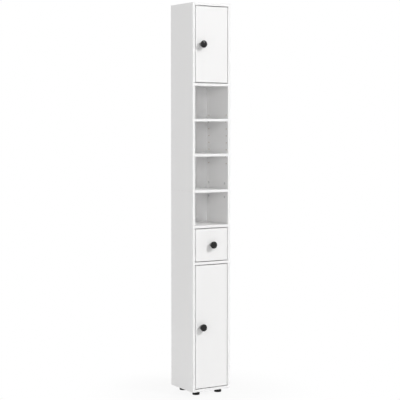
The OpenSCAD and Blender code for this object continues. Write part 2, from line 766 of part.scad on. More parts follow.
module drawer_front() color(white_board) difference() {
    block([-front_x, front_y, drawer_floor + front_gap], [front_x, door_back, drawer_roof - front_gap]);
    block([-box_in - groove_depth, door_back - groove_depth, bottom_z_in],
        [box_in + groove_depth, door_back + cut, bottom_z_in + groove_w]);
    for (side = [-1, 1], z = drawer_fix_zs)
        bore([side * (box_in + board_t / 2), door_back, z], [0, -1, 0], cam_shank_d, thread_in);
    bore([0, door_back, drawer_knob_z], [0, -1, 0], knob_screw_d, front_t + cut);
}

// A drawer side with the runner's groove outside and the bottom's groove inside
module drawer_side(side) color(white_board) {
    inner = side * box_in;
    outer = side * front_x;
    groove = outer - side * (runner_in + run_gap);
    difference() {
        block([min(inner, outer), door_back, box_z], [max(inner, outer), box_rear, box_top]);
        block([min(groove, outer + side * cut), door_back - cut, runner_z - runner_groove_h / 2],
            [max(groove, outer + side * cut), box_rear + cut, runner_z + runner_groove_h / 2]);
        block([min(inner - side * cut, inner + side * groove_depth), door_back - cut, bottom_z_in],
            [max(inner - side * cut, inner + side * groove_depth), box_rear + cut, bottom_z_in + groove_w]);
        for (z = drawer_fix_zs) {
            bore([inner, door_back + cam_reach, z], [side, 0, 0], cam_d, cam_depth);
            bore([side * (box_in + board_t / 2), door_back, z], [0, 1, 0], cam_channel_d, cam_reach);
            sunk_hole([outer, box_rear - board_t / 2, z], [-side, 0, 0], back_screw_d, back_head_d,
                board_t + cut);
        }
    }
}

module drawer_side_left() drawer_side(-1);
module drawer_side_right() drawer_side(1);

module drawer_back() color(white_board) difference() {
    block([-box_in, box_rear - board_t, bottom_z_in + groove_w], [box_in, box_rear, box_top]);
    for (side = [-1, 1], z = drawer_fix_zs)
        bore([side * box_in, box_rear - board_t / 2, z], [-side, 0, 0], back_screw_d,
            back_screw_in);
}

module drawer_bottom() color(white_board) {
    half_w = box_in + groove_depth - shelf_gap;
    block([-half_w, door_back - groove_depth + shelf_gap, bottom_z_in],
        [half_w, box_rear, bottom_z_in + panel_t]);
}

module drawer_knob() knob(0, drawer_knob_z);
module drawer_knob_screw() knob_screw(0, drawer_knob_z);

module drawer_cams() color(zinc) for (side = [-1, 1], z = drawer_fix_zs)
    cam([side * box_in, door_back + cam_reach, z], [side, 0, 0], [0, -1, 0]);

module drawer_cam_bolts() color(steel) for (side = [-1, 1], z = drawer_fix_zs)
    cam_bolt([side * (box_in + board_t / 2), door_back, z], [0, 1, 0]);

module drawer_back_screws() color(steel) for (side = [-1, 1], z = drawer_fix_zs)
    sunk_screw([side * front_x, box_rear - board_t / 2, z], [-side, 0, 0], back_screw_d, back_head_d,
        back_screw_len);

left_side_lower();
left_side_upper();
right_side_lower();
right_side_upper();
top_board();
bottom_board();
upper_divider();
drawer_top_board();
drawer_bottom_board();
middle_shelf();
open_shelf_lower();
open_shelf_upper();
upper_cupboard_shelf();
lower_cupboard_shelf();
back_panel_lower();
back_panel_upper();
back_joiner();
foot_front_left();
foot_front_right();
foot_rear_left();
foot_rear_right();
foot_screws();
board_cams();
board_cam_bolts();
board_dowels();
side_joint_cams();
side_joint_bolts();
shelf_pins();
hinge_arms();
hinge_plates();
hinge_screws();
magnetic_catches();
catch_screws();
drawer_runners();
runner_screws();
upper_door_panel();
upper_hinge_cups();
upper_hinge_pins();
upper_cup_screws();
upper_knob();
upper_knob_screw();
upper_strike_plate();
lower_door_panel();
lower_hinge_cups();
lower_hinge_pins();
lower_cup_screws();
lower_knob();
lower_knob_screw();
lower_strike_plate();
drawer_front();
drawer_side_left();
drawer_side_right();
drawer_back();
drawer_bottom();
drawer_knob();
drawer_knob_screw();
drawer_cams();
drawer_cam_bolts();
drawer_back_screws();
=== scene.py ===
import json
import math

import bmesh
import bpy
from mathutils import Matrix, Vector

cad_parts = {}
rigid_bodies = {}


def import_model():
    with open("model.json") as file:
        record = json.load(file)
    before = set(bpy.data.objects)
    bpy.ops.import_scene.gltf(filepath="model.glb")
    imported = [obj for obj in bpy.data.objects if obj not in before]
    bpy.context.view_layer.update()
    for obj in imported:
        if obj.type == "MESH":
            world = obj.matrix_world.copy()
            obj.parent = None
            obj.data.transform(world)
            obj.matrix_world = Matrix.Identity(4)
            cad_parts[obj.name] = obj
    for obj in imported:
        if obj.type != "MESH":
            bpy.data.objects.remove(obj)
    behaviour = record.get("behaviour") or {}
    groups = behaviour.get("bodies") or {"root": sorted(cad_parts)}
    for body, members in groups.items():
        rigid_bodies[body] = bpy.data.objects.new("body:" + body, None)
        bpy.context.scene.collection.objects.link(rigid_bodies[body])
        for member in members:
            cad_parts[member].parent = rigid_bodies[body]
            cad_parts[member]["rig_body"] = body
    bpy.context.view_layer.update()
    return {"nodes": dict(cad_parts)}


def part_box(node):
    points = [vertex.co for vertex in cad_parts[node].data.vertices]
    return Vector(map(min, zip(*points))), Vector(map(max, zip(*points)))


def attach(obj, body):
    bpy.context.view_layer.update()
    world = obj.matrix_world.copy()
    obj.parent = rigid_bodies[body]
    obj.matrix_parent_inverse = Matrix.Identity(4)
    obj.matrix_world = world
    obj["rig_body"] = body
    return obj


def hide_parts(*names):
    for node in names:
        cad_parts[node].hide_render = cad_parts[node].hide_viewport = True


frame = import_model()
nodes = frame["nodes"]
scene = bpy.context.scene
mm = 0.001

# Camera at the photograph's angle: eye in metres, turn in degrees
shot = {
    "eye": (-2.8746, -4.7778, 1.2745),
    "turn": (86.4882, 0, -30.945),
    "lens": 108.163,
    "sensor": 36,
    "shift": -0.018,
}
cameraData = bpy.data.cameras.new("camera")
cameraData.lens = shot["lens"]
cameraData.sensor_width = shot["sensor"]
cameraData.shift_y = shot["shift"]
camera = bpy.data.objects.new("camera", cameraData)
camera.location = shot["eye"]
camera.rotation_euler = [math.radians(angle) for angle in shot["turn"]]
scene.collection.objects.link(camera)
scene.camera = camera
scene.view_settings.view_transform = "Standard"


# A node socket that Python can do sums with
class Wire:
    def __init__(self, finish, socket):
        self.finish, self.socket = finish, socket

    def __add__(self, other):
        return self.finish.sum("ADD", self, other)

    def __radd__(self, other):
        return self.finish.sum("ADD", other, self)

    def __sub__(self, other):
        return self.finish.sum("SUBTRACT", self, other)

    def __rsub__(self, other):
        return self.finish.sum("SUBTRACT", other, self)

    def __mul__(self, other):
        return self.finish.sum("MULTIPLY", self, other)

    def __rmul__(self, other):
        return self.finish.sum("MULTIPLY", other, self)

    def __gt__(self, other):
        return self.finish.sum("GREATER_THAN", self, other)

    def __lt__(self, other):
        return self.finish.sum("LESS_THAN", self, other)


# A node tree that is being wired up, for a material or for the world
class Finish:
    def __init__(self, owner):
        self.owner = owner
        owner.use_nodes = True
        self.tree = owner.node_tree
        self.tree.nodes.clear()

    def node(self, kind, settings=None, sockets=None, output=0):
        made = self.tree.nodes.new(kind)
        for name, value in (settings or {}).items():
            if name == "stops":
                self.setStops(made.color_ramp, value)
            else:
                setattr(made, name, value)
        for name, value in (sockets or {}).items():
            if isinstance(value, Wire):
                self.tree.links.new(value.socket, made.inputs[name])
            else:
                made.inputs[name].default_value = value
        return Wire(self, made.outputs[output]) if made.outputs else None

    def setStops(self, ramp, stops):
        while len(ramp.elements) < len(stops):
            ramp.elements.new(1)
        for element, (place, colour) in zip(ramp.elements, stops):
            element.position = place
            element.color = (*colour, 1)

    def sum(self, operation, first, second):
        return self.node("ShaderNodeMath", {"operation": operation}, {0: first, 1: second})

    def place(self):
        return self.node("ShaderNodeTexCoord", output="Object")

    def along(self, axis):
        return self.node("ShaderNodeSeparateXYZ", None, {"Vector": self.place()}, output=axis)

    def stretched(self, scale):
        return self.node("ShaderNodeMapping", None, {"Vector": self.place(), "Scale": scale})

    def noise(self, scale, detail=2.0, vector=None, rough=0.5):
        return self.node("ShaderNodeTexNoise", None, {
            "Vector": vector or self.place(), "Scale": scale, "Detail": detail, "Roughness": rough})

    def tint(self, factor, first, second):
        return self.node("ShaderNodeMix", {"data_type": "RGBA"}, {
            "Factor": factor, 6: first, 7: second}, output=2)

    def bump(self, height, strength, depth, under=None):
        sockets = {"Height": height, "Strength": strength, "Distance": depth}
        if under:
            sockets["Normal"] = under
        return self.node("ShaderNodeBump", None, sockets)

    # 1 for the rays that show floor and sky as plain white, 0 for the rays that light the object
    def seenRays(self):
        rays = self.node("ShaderNodeLightPath", output="Is Camera Ray")
        rays = rays + self.node("ShaderNodeLightPath", output="Is Glossy Ray")
        return rays + self.node("ShaderNodeLightPath", output="Is Transmission Ray")

    # One shader of fixed values and wires, joined to the output
    def surface(self, **values):
        names = {name.replace("_", " "): value for name, value in values.items()}
        shader = self.node("ShaderNodeBsdfPrincipled", None, names)
        self.node("ShaderNodeOutputMaterial", None, {"Surface": shader})
        return self.owner


def grey(level, warmth=0.0):
    return (level * (1 + warmth), level, level * (1 - warmth), 1)


def newFinish(name):
    return Finish(bpy.data.materials.new(name))


# White melamine foil: a fine pearl grain, a slow drift of tone and faint wiping marks
melamine = {
    "light": 0.87, "dark": 0.858, "warmth": 0.004, "rough": 0.36, "wiped": 0.12,
    "pearl": 1500, "pearlDepth": 0.02 * mm,
}


def makeMelamine():
    f = newFinish("whiteMelamine")
    drift = f.noise(4, 3)
    pearl = f.noise(melamine["pearl"], 1.5)
    wiped = f.noise(9, 4, f.stretched((1, 1, 0.25)), 0.6)
    colour = f.tint(
        drift * 0.7 + pearl * 0.3,
        grey(melamine["dark"], melamine["warmth"]), grey(melamine["light"], melamine["warmth"]))
    return f.surface(
        Base_Color=colour, Roughness=melamine["rough"] + wiped * melamine["wiped"],
        Normal=f.bump(pearl, 0.25, melamine["pearlDepth"]))


# White edging: smoother than the foil, with faint lines from the machine that trims it
edging = {
    "light": 0.9, "dark": 0.888, "warmth": 0.002, "rough": 0.3, "uneven": 0.1,
    "lines": 900, "lineDepth": 0.02 * mm,
}


def makeEdging():
    f = newFinish("whiteEdging")
    lines = f.noise(edging["lines"], 1, f.stretched((1, 1, 0.02)))
    colour = f.tint(
        lines, grey(edging["dark"], edging["warmth"]), grey(edging["light"], edging["warmth"]))
    return f.surface(
        Base_Color=colour, Roughness=edging["rough"] + f.noise(30, 2) * edging["uneven"],
        Normal=f.bump(lines, 0.15, edging["lineDepth"]))


# The seam between foil and edging on every rounded edge, coloured far darker than a glue line: painted
# shade that darkens the gap lines between doors, drawer and carcass
seamGapShade = {"dark": 0.58, "light": 0.8, "rough": 0.42, "uneven": 0.12, "depth": 0.02 * mm}


def makeSeamGapShade():
    f = newFinish("seamGapShade")
    drift = f.noise(240, 3)
    return f.surface(
        Base_Color=f.tint(drift, grey(seamGapShade["dark"], 0.02), grey(seamGapShade["light"], 0.01)),
        Roughness=seamGapShade["rough"] + drift * seamGapShade["uneven"],
        Normal=f.bump(drift, 0.2, seamGapShade["depth"]))


# Raw chipboard, seen in holes and grooves
chips = {
    "pale": (0.55, 0.38, 0.21), "mid": (0.38, 0.24, 0.12), "dark": (0.17, 0.1, 0.05),
    "size": 420, "rough": 0.85, "depth": 0.15 * mm,
}


def makeChipboard():
    f = newFinish("rawChipboard")
    cell = f.node("ShaderNodeTexVoronoi", None, {
        "Vector": f.stretched((1, 1, 1.7)), "Scale": chips["size"]}, output="Color")
    grain = f.node("ShaderNodeSeparateXYZ", None, {"Vector": cell}, output="X")
    fine = f.noise(2600, 3)
    colour = f.node("ShaderNodeValToRGB", {
        "stops": [(0.0, chips["dark"]), (0.45, chips["mid"]), (1.0, chips["pale"])]},
        {"Fac": grain * 0.7 + fine * 0.3})
    return f.surface(
        Base_Color=colour, Roughness=chips["rough"], Normal=f.bump(grain + fine, 0.6, chips["depth"]))


# Thin hardboard: white lacquer on its good face, and brown with a wire-screen print on the other
hardboard = {
    "white": 0.86, "brown": (0.3, 0.17, 0.075), "pale": (0.4, 0.25, 0.125),
    "rough": 0.42, "rawRough": 0.42, "mesh": 170, "depth": 0.12 * mm,
}


def makeHardboard(name, axis, level, goodSide):
    f = newFinish(name)
    across = f.along(axis)
    raw = across > level if goodSide < 0 else across < level
    fibre = f.noise(160, 6, f.stretched((1, 1, 1.4)), 0.65)
    first, second = (
        f.node("ShaderNodeTexWave", {"bands_direction": way}, {
            "Vector": f.place(), "Scale": hardboard["mesh"], "Distortion": 0.6, "Detail": 1.0})
        for way in ("X", "Z" if axis == "Y" else "Y"))
    screen = first * second
    brown = f.tint(fibre, (*hardboard["brown"], 1), (*hardboard["pale"], 1))
    white = f.tint(f.noise(5, 3), grey(hardboard["white"] * 0.985), grey(hardboard["white"]))
    return f.surface(
        Base_Color=f.tint(raw, white, brown),
        Roughness=hardboard["rough"] + raw * hardboard["rawRough"],
        Normal=f.bump(screen * raw * 0.8 + fibre * (0.06 + raw * 0.5), 0.5, hardboard["depth"]))


# Black satin knobs: lacquered, with a hair of orange peel
knobBlack = {
    "dark": 0.002, "light": 0.005, "rough": 0.07, "worn": 0.04, "shine": 0.34, "peelDepth": 0.015 * mm,
}


def makeKnobBlack():
    f = newFinish("satinBlack")
    peel = f.noise(1100, 2)
    rubbed = f.noise(90, 4, None, 0.6)
    return f.surface(
        Base_Color=f.tint(rubbed, grey(knobBlack["dark"]), grey(knobBlack["light"])),
        Roughness=knobBlack["rough"] + rubbed * knobBlack["worn"],
        Specular_IOR_Level=knobBlack["shine"], Normal=f.bump(peel, 0.3, knobBlack["peelDepth"]))


# Moulded plastic with the fine texture of a spark-eroded mould
plastics = {
    "blackPlastic": {"dark": 0.003, "light": 0.007, "rough": 0.4, "shine": 0.2, "depth": 0.04 * mm},
    "whitePlastic": {"dark": 0.78, "light": 0.83, "rough": 0.34, "shine": 0.5, "depth": 0.02 * mm},
    "ferrite": {"dark": 0.03, "light": 0.05, "rough": 0.5, "shine": 0.5, "depth": 0.05 * mm},
}


def makePlastic(name):
    look = plastics[name]
    f = newFinish(name)
    grain = f.noise(2400, 2)
    flow = f.noise(60, 3)
    return f.surface(
        Base_Color=f.tint(flow * 0.6 + grain * 0.4, grey(look["dark"]), grey(look["light"])),
        Roughness=look["rough"] + grain * 0.14, Specular_IOR_Level=look["shine"],
        Normal=f.bump(grain, 0.5, look["depth"]))


# Plated or cast metal: tone, brushing or casting grain, and duller patches
metals = {
    "nickelPlate": {
        "tone": (0.72, 0.71, 0.69), "dull": 0.82, "rough": 0.2, "patchy": 0.16,
        "brush": 1500, "stretch": (1, 1, 0.12), "depth": 0.01 * mm},
    "zincCast": {
        "tone": (0.74, 0.745, 0.75), "dull": 0.82, "rough": 0.42, "patchy": 0.16,
        "brush": 1900, "stretch": (1, 1, 1), "depth": 0.04 * mm},
}


def makeMetal(name):
    f = newFinish(name)
    look = metals[name]
    grain = f.noise(look["brush"], 3, f.stretched(look["stretch"]), 0.6)
    patch = f.noise(140, 4, None, 0.6)
    dull = tuple(part * look["dull"] for part in look["tone"])
    return f.surface(
        Base_Color=f.tint(grain * 0.6 + patch * 0.4, (*dull, 1), (*look["tone"], 1)), Metallic=1.0,
        Roughness=look["rough"] + patch * look["patchy"], Normal=f.bump(grain, 0.35, look["depth"]))


# Turned beech for the dowels, with the grain along them
beechLook = {"dark": (0.42, 0.25, 0.12), "pale": (0.66, 0.45, 0.26), "rough": 0.62, "depth": 0.05 * mm}


def makeBeech():
    f = newFinish("beech")
    grain = f.noise(700, 4, f.stretched((0.06, 1, 1)), 0.6)
    flecks = f.noise(2200, 1, f.stretched((0.15, 1, 1)))
    colour = f.node("ShaderNodeValToRGB", {
        "stops": [(0.3, beechLook["dark"]), (0.7, beechLook["pale"])]},
        {"Fac": grain * 0.8 + flecks * 0.2})
    return f.surface(
        Base_Color=colour, Roughness=beechLook["rough"], Normal=f.bump(grain, 0.4, beechLook["depth"]))


whiteBoard = [makeMelamine(), makeEdging(), makeChipboard(), makeSeamGapShade()]
satinBlack = makeKnobBlack()
blackPlastic, whitePlastic, ferrite = (makePlastic(name) for name in plastics)
nickel, zincCast = (makeMetal(name) for name in metals)
beech = makeBeech()
print("materials:", len(bpy.data.materials))


meshLook = {
    "weld": 0.002 * mm,  # corners closer than this are one
    "flat": math.radians(0.6),  # faces that meet at less are one face
    "curved": 0.02,  # radians; faces that meet at more belong to a curve or an edge
}


# A joined-up copy of a CAD node's mesh, with its flat faces whole again
def nodeCopy(node):
    shape = bmesh.new()
    shape.from_mesh(nodes[node].data)
    bmesh.ops.remove_doubles(shape, verts=shape.verts, dist=meshLook["weld"])
    bmesh.ops.dissolve_limit(
        shape, angle_limit=meshLook["flat"], verts=shape.verts, edges=shape.edges)
    return shape


def middleOf(node):
    low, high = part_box(node)
    return (low + high) / 2


def makeObject(name, shape, finishes):
    mesh = bpy.data.meshes.new(name)
    shape.to_mesh(mesh)
    shape.free()
    for finish in finishes:
        mesh.materials.append(finish)
    made = bpy.data.objects.new(name, mesh)
    scene.collection.objects.link(made)
    return made


def addPiece(shape, name, node, finishes, replaced=True):
    piece = makeObject(name, shape, finishes)
    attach(piece, nodes[node]["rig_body"])
    if replaced:
        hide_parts(node)
    return piece


def pieceName(node):
    first, *rest = node.split("_")
    return first + "".join(word.title() for word in rest)


# Rounds the given edges and shades only the rounding smooth
def roundEdges(shape, edges, size, steps, material=-1):
    rounded = bmesh.ops.bevel(
        shape, geom=edges, offset=size, offset_type="OFFSET", segments=steps, profile=0.5,
        affect="EDGES", material=material, clamp_overlap=True)
    for face in rounded["faces"]:
        face.smooth = True
    made = set(rounded["faces"])
    for edge in shape.edges:
        sides = [face in made for face in edge.link_faces]
        if len(sides) == 2 and sides[0] != sides[1]:
            edge.smooth = False
    return made


# Boards: the foil on both faces, edging round them, and raw chipboard in every hole and groove
boardLook = {
    "round": 0.4 * mm, "frontRound": 0.7 * mm, "steps": 3, "frontSteps": 4,
    "near": 0.005 * mm,  # a point this close to the board's box is on its outside
    "holeCurve": 0.5,  # radians; faces of a drilled hole meet at less
}
foil, edgeBand, rawBoard, shadedSeam = range(4)
carcassBoards = [
    "left_side_lower", "left_side_upper", "right_side_lower", "right_side_upper",
    "top_board", "bottom_board", "upper_divider", "drawer_top_board", "drawer_bottom_board",
    "middle_shelf", "open_shelf_lower", "open_shelf_upper",
    "upper_cupboard_shelf", "lower_cupboard_shelf",
    "drawer_side_left", "drawer_side_right", "drawer_back",
]
frontBoards = ["upper_door_panel", "lower_door_panel", "drawer_front"]


def makeBoard(node, size, steps):
    shape = nodeCopy(node)
    low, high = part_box(node)
    spread = high - low
    thin = min(range(3), key=lambda axis: spread[axis])

    def planes(point):
        return {(axis, end) for axis in range(3) for end, corner in enumerate((low, high))
                if abs(point[axis] - corner[axis]) < boardLook["near"]}

    for face in shape.faces:
        shared = set.intersection(*(planes(corner.co) for corner in face.verts))
        if not shared:
            face.material_index = rawBoard
        elif all(axis != thin for axis, end in shared):
            face.material_index = edgeBand
        angles = [edge.calc_face_angle(0) for edge in face.edges]
        face.smooth = not shared and any(
            meshLook["curved"] < angle < boardLook["holeCurve"] for angle in angles)
    outline = [edge for edge in shape.edges
               if len(planes(edge.verts[0].co) & planes(edge.verts[1].co)) > 1]
    for face in roundEdges(shape, outline, size, steps, edgeBand):
        beside = {other.material_index for edge in face.edges for other in edge.link_faces}
        # Faces of the rounding beside the foil get the dark seam: painted shade for the gap lines
        if foil in beside:
            face.material_index = shadedSeam
    return addPiece(shape, pieceName(node), node, whiteBoard)


for node in carcassBoards:
    makeBoard(node, boardLook["round"], boardLook["steps"])
for node in frontBoards:
    makeBoard(node, boardLook["frontRound"], boardLook["frontSteps"])
print("boards:", len(carcassBoards) + len(frontBoards))


# Hardware that keeps its CAD form, with its sharp edges eased
def easeEdges(shape, size, steps, sharp=30):
    limit = math.radians(sharp)
    for face in shape.faces:
        face.smooth = any(meshLook["curved"] < edge.calc_face_angle(0) < limit for edge in face.edges)
    edges = [edge for edge in shape.edges if edge.calc_face_angle(0) > limit]
    for edge in edges:
        edge.smooth = False
    roundEdges(shape, edges, size, steps)
    return shape


def makeEased(node, size, steps, finishes):
    return addPiece(easeEdges(nodeCopy(node), size, steps), pieceName(node), node, finishes)


# Thin panels: brown from this depth behind the middle of the panel's thickness
panelLook = {"edge": 0.15 * mm, "brownFrom": 1 * mm}
backBoard = makeHardboard(
    "hardboardBack", "Y", middleOf("back_panel_upper").y + panelLook["brownFrom"], -1)
trayBoard = makeHardboard(
    "hardboardTray", "Z", middleOf("drawer_bottom").z - panelLook["brownFrom"], 1)
for node in ("back_panel_lower", "back_panel_upper"):
    makeEased(node, panelLook["edge"], 1, [backBoard])
makeEased("drawer_bottom", panelLook["edge"], 1, [trayBoard])
makeEased("back_joiner", panelLook["edge"], 2, [whitePlastic])
print("thin panels done")

# Fittings: size of the rounding, slot and finish
eased = {
    "board_cams": (0.25 * mm, "zinc", zincCast),
    "side_joint_cams": (0.25 * mm, "zinc", zincCast),
    "drawer_cams": (0.25 * mm, "zinc", zincCast),
    "shelf_pins": (0.7 * mm, "steel", nickel),
    "hinge_plates": (0.3 * mm, "steel", nickel),
    "upper_hinge_cups": (0.25 * mm, "steel", nickel),
    "lower_hinge_cups": (0.25 * mm, "steel", nickel),
    "upper_hinge_pins": (0.2 * mm, "steel", nickel),
    "lower_hinge_pins": (0.2 * mm, "steel", nickel),
    "upper_strike_plate": (0.25 * mm, "steel", nickel),
    "lower_strike_plate": (0.25 * mm, "steel", nickel),
    "drawer_runners": (0.4 * mm, "white_plastic", whitePlastic),
}
for node, (size, slot, finish) in eased.items():
    makeEased(node, size, 2, [finish])
print("hardware:", len(eased))

# Pieces inside the boards keep their CAD mesh
for node, finish in {
    "board_cam_bolts": nickel, "side_joint_bolts": nickel, "drawer_cam_bolts": nickel,
    "board_dowels": beech,
}.items():
    nodes[node].data.materials.clear()
    nodes[node].data.materials.append(finish)


# Adds a block between two corners to a shape
def addBlock(shape, low, high):
    low, high = Vector(low), Vector(high)
    bmesh.ops.create_cube(
        shape, size=1, matrix=Matrix.Translation((low + high) / 2) @ Matrix.Diagonal((*(high - low), 1)))


# Takes one shape out of another
def cutOut(shape, cutter):
    made = [makeObject("cutting", part, []) for part in (shape, cutter)]
    modifier = made[0].modifiers.new("cut", "BOOLEAN")
    modifier.operation, modifier.solver, modifier.object = "DIFFERENCE", "EXACT", made[1]
    result = bmesh.new()
    result.from_object(made[0], bpy.context.evaluated_depsgraph_get())
    for part in made:
        mesh = part.data
        bpy.data.objects.remove(part)
        bpy.data.meshes.remove(mesh)
    return result


# Hinge arms: pressed strip, with its bends rounded before its edges
armLook = {
    "bend": 0.7 * mm, "bendSteps": 4, "edge": 0.2 * mm, "sharp": 38,
    "strip": 9 * mm,  # a bend is longer than this, and upright
    "turn": (0.2, 1.4),  # radians that the strip turns by at a bend
}


def makeHingeArms():
    shape = nodeCopy("hinge_arms")
    least, most = armLook["turn"]
    bends = []
    for edge in shape.edges:
        way = edge.verts[0].co - edge.verts[1].co
        upright = abs(way.z) > 0.99 * way.length and way.length > armLook["strip"]
        if upright and least < edge.calc_face_angle(0) < most:
            bends.append(edge)
    bmesh.ops.bevel(
        shape, geom=bends, offset=armLook["bend"], offset_type="OFFSET",
        segments=armLook["bendSteps"], profile=0.5, affect="EDGES", material=-1, clamp_overlap=True)
    print("hinge arm bends:", len(bends))
    easeEdges(shape, armLook["edge"], 2, armLook["sharp"])
    return addPiece(shape, "hingeArms", "hinge_arms", [nickel])


makeHingeArms()

# Magnetic catches: a housing with a pocket, and in it a magnet between two pole plates
catchLook = {
    "high": 13 * mm, "edge": 0.4 * mm, "pocket": (9 * mm, 3.2 * mm, 4 * mm),
    "plate": 1.2 * mm, "plateUp": 3.4 * mm, "plateBack": 0.15 * mm, "plateEdge": 0.2 * mm,
    "magnetIn": 0.6 * mm, "magnetBack": 0.9 * mm, "magnetEdge": 0.3 * mm,
}
catchMiddle = middleOf("magnetic_catches")
roofs = [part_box("drawer_bottom_board")[0].z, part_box("top_board")[0].z]


def makeCatches():
    c = catchLook
    halfWide, deep, halfHigh = c["pocket"]
    x, front = catchMiddle.x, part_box("magnetic_catches")[0].y
    pockets, poles, magnets = bmesh.new(), bmesh.new(), bmesh.new()
    for roof in roofs:
        z = roof - c["high"] / 2
        addBlock(pockets, (x - halfWide, front - deep, z - halfHigh),
                 (x + halfWide, front + deep, z + halfHigh))
        for up in (-1, 1):
            level = z + up * c["plateUp"]
            addBlock(poles, (x - halfWide, front + c["plateBack"], level - c["plate"] / 2),
                     (x + halfWide, front + deep, level + c["plate"] / 2))
        inner = c["plateUp"] - c["plate"] / 2
        addBlock(magnets, (x - halfWide + c["magnetIn"], front + c["magnetBack"], z - inner),
                 (x + halfWide - c["magnetIn"], front + deep, z + inner))
    housing = cutOut(nodeCopy("magnetic_catches"), pockets)
    for shape, edge, name, slot, finish in (
            (housing, c["edge"], "magneticCatches", "white_plastic", whitePlastic),
            (poles, c["plateEdge"], "catchPolePlates", "steel", nickel),
            (magnets, c["magnetEdge"], "catchMagnets", "black_plastic", ferrite)):
        addPiece(easeEdges(shape, edge, 2), name, "magnetic_catches", [finish], shape is housing)


makeCatches()
print("hinge arms and catches done")


# A shape turned from a profile of radius, height and corner rounding
turnedLook = {"roundSteps": 6, "sharp": math.radians(32)}


def turned(profile, steps):
    shape = bmesh.new()
    corners = [shape.verts.new((radius, 0, height)) for radius, height, _ in profile]
    for first, second in zip(corners, corners[1:]):
        shape.edges.new((first, second))
    for corner, (_, _, rounding) in zip(corners, profile):
        if rounding:
            bmesh.ops.bevel(
                shape, geom=[corner], offset=rounding, offset_type="OFFSET",
                segments=turnedLook["roundSteps"], profile=0.5, affect="VERTICES", material=-1)
    bmesh.ops.spin(
        shape, geom=shape.verts[:] + shape.edges[:], cent=(0, 0, 0), axis=(0, 0, 1),
        angle=math.tau, steps=steps, use_merge=True)
    bmesh.ops.remove_doubles(shape, verts=shape.verts, dist=meshLook["weld"])
    bmesh.ops.recalc_face_normals(shape, faces=shape.faces)
    for face in shape.faces:
        face.smooth = True
    for edge in shape.edges:
        edge.smooth = edge.calc_face_angle(0) < turnedLook["sharp"]
    return shape


# Knobs: neck, straight flare, round rim and a crown that is part of a ball; heights run from the door
knobs = ["upper_knob", "lower_knob", "drawer_knob"]
knobShape = {
    "bore": 2.05 * mm, "boreDeep": 11 * mm, "neck": 10 * mm, "neckLength": 1 * mm,
    "neckRound": 0.6 * mm, "rim": 16.7 * mm, "rimBack": 20.3 * mm, "rimFront": 23 * mm,
    "backRound": 0.7 * mm, "frontRound": 1.6 * mm, "crownEdge": 14.75 * mm, "reach": 27 * mm,
    "ball": 34.2 * mm, "crownRings": (1, 0.84, 0.67, 0.5, 0.33, 0.16, 0), "steps": 80,
}


def makeKnob(node):
    k = knobShape
    middle = middleOf(node)
    crown = []
    for share in k["crownRings"]:
        away = share * k["crownEdge"]
        crown.append((away, k["reach"] - k["ball"] + math.sqrt(k["ball"] ** 2 - away ** 2), 0))
    shape = turned([
        (0, k["boreDeep"], 0), (k["bore"], k["boreDeep"], 0), (k["bore"], 0, 0), (k["neck"], 0, 0),
        (k["neck"], k["neckLength"], k["neckRound"]), (k["rim"], k["rimBack"], k["backRound"]),
        (k["rim"], k["rimFront"], k["frontRound"]), *crown], k["steps"])
    place = Matrix.Translation((middle.x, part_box(node)[1].y, middle.z))
    bmesh.ops.transform(
        shape, matrix=place @ Matrix.Rotation(math.radians(90), 4, "X"), verts=shape.verts)
    return addPiece(shape, pieceName(node), node, [satinBlack])


for node in knobs:
    makeKnob(node)

# Feet: a taper that is rounded at the floor, with a groove near the top and a deep seat for the screw
feet = ["foot_front_left", "foot_front_right", "foot_rear_left", "foot_rear_right"]
footShape = {
    "hole": 2.05 * mm, "seat": 12 * mm, "bore": 5 * mm, "low": 17 * mm, "top": 17.5 * mm,
    "height": 20 * mm, "round": 1.5 * mm, "boreRound": 0.4 * mm, "lipRound": 0.2 * mm,
    "groove": 1.1 * mm, "grooveDeep": 0.35 * mm, "grooveRound": 0.1 * mm, "steps": 64,
}


def makeFoot(node):
    f, middle = footShape, middleOf(node)
    lip, fine = f["lipRound"], f["grooveRound"]
    shape = turned([
        (f["hole"], f["height"], 0), (f["hole"], f["seat"], 0), (f["bore"], f["seat"], 0),
        (f["bore"], 0, f["boreRound"]), (f["low"], 0, f["round"]),
        (f["top"] - lip, f["height"] - 2 * f["groove"], lip),
        (f["top"] - f["grooveDeep"] - fine, f["height"] - 1.6 * f["groove"], fine),
        (f["top"], f["height"] - f["groove"], lip), (f["top"], f["height"], 0),
        (f["hole"], f["height"], 0)], f["steps"])
    bmesh.ops.translate(shape, vec=(middle.x, middle.y, 0), verts=shape.verts)
    return addPiece(shape, pieceName(node), node, [blackPlastic])


for node in feet:
    makeFoot(node)
print("knobs and feet done")

# Screws: their heads point up, and their points down; the cross is cut into the head, in shares of it
crossShape = {"long": 0.66, "wide": 0.17, "deep": 0.85, "taper": 0.55, "spare": 0.05 * mm, "steps": 36}


def makeScrewShape(d, headD, headH, length, sunk):
    c, r, headR = crossShape, d / 2, headD / 2
    if sunk:
        sink = headR - r
        profile = [(0, 0, 0), (headR, 0, 0), (r, -sink, 0), (r, d - length, 0), (0, -length, 0)]
        top, deep = 0, sink
    else:
        profile = [(0, headH, 0), (headR * 0.7, headH, headH * 0.2), (headR, headH * 0.5, headH * 0.2),
                   (headR, 0, 0), (r, 0, 0), (r, d / 2 - length, 0), (0, -length, 0)]
        top, deep = headH, headH
    shape, armDeep = turned(profile, c["steps"]), deep * c["deep"]
    for turn in (0, 90):  # one arm of the cross at a time, because arms that overlap cut nothing
        arm = bmesh.new()
        corners = bmesh.ops.create_cube(arm, size=1, matrix=(
            Matrix.Rotation(math.radians(turn), 4, "Z")
            @ Matrix.Translation((0, 0, top - armDeep / 2 + c["spare"]))
            @ Matrix.Diagonal((headD * c["long"], headD * c["wide"], armDeep + 2 * c["spare"], 1))
        ))["verts"]
        lower = [corner for corner in corners if corner.co.z < top - armDeep / 2]
        bmesh.ops.scale(arm, vec=(c["taper"], c["taper"], 1), verts=lower)
        shape = cutOut(shape, arm)
    return shape


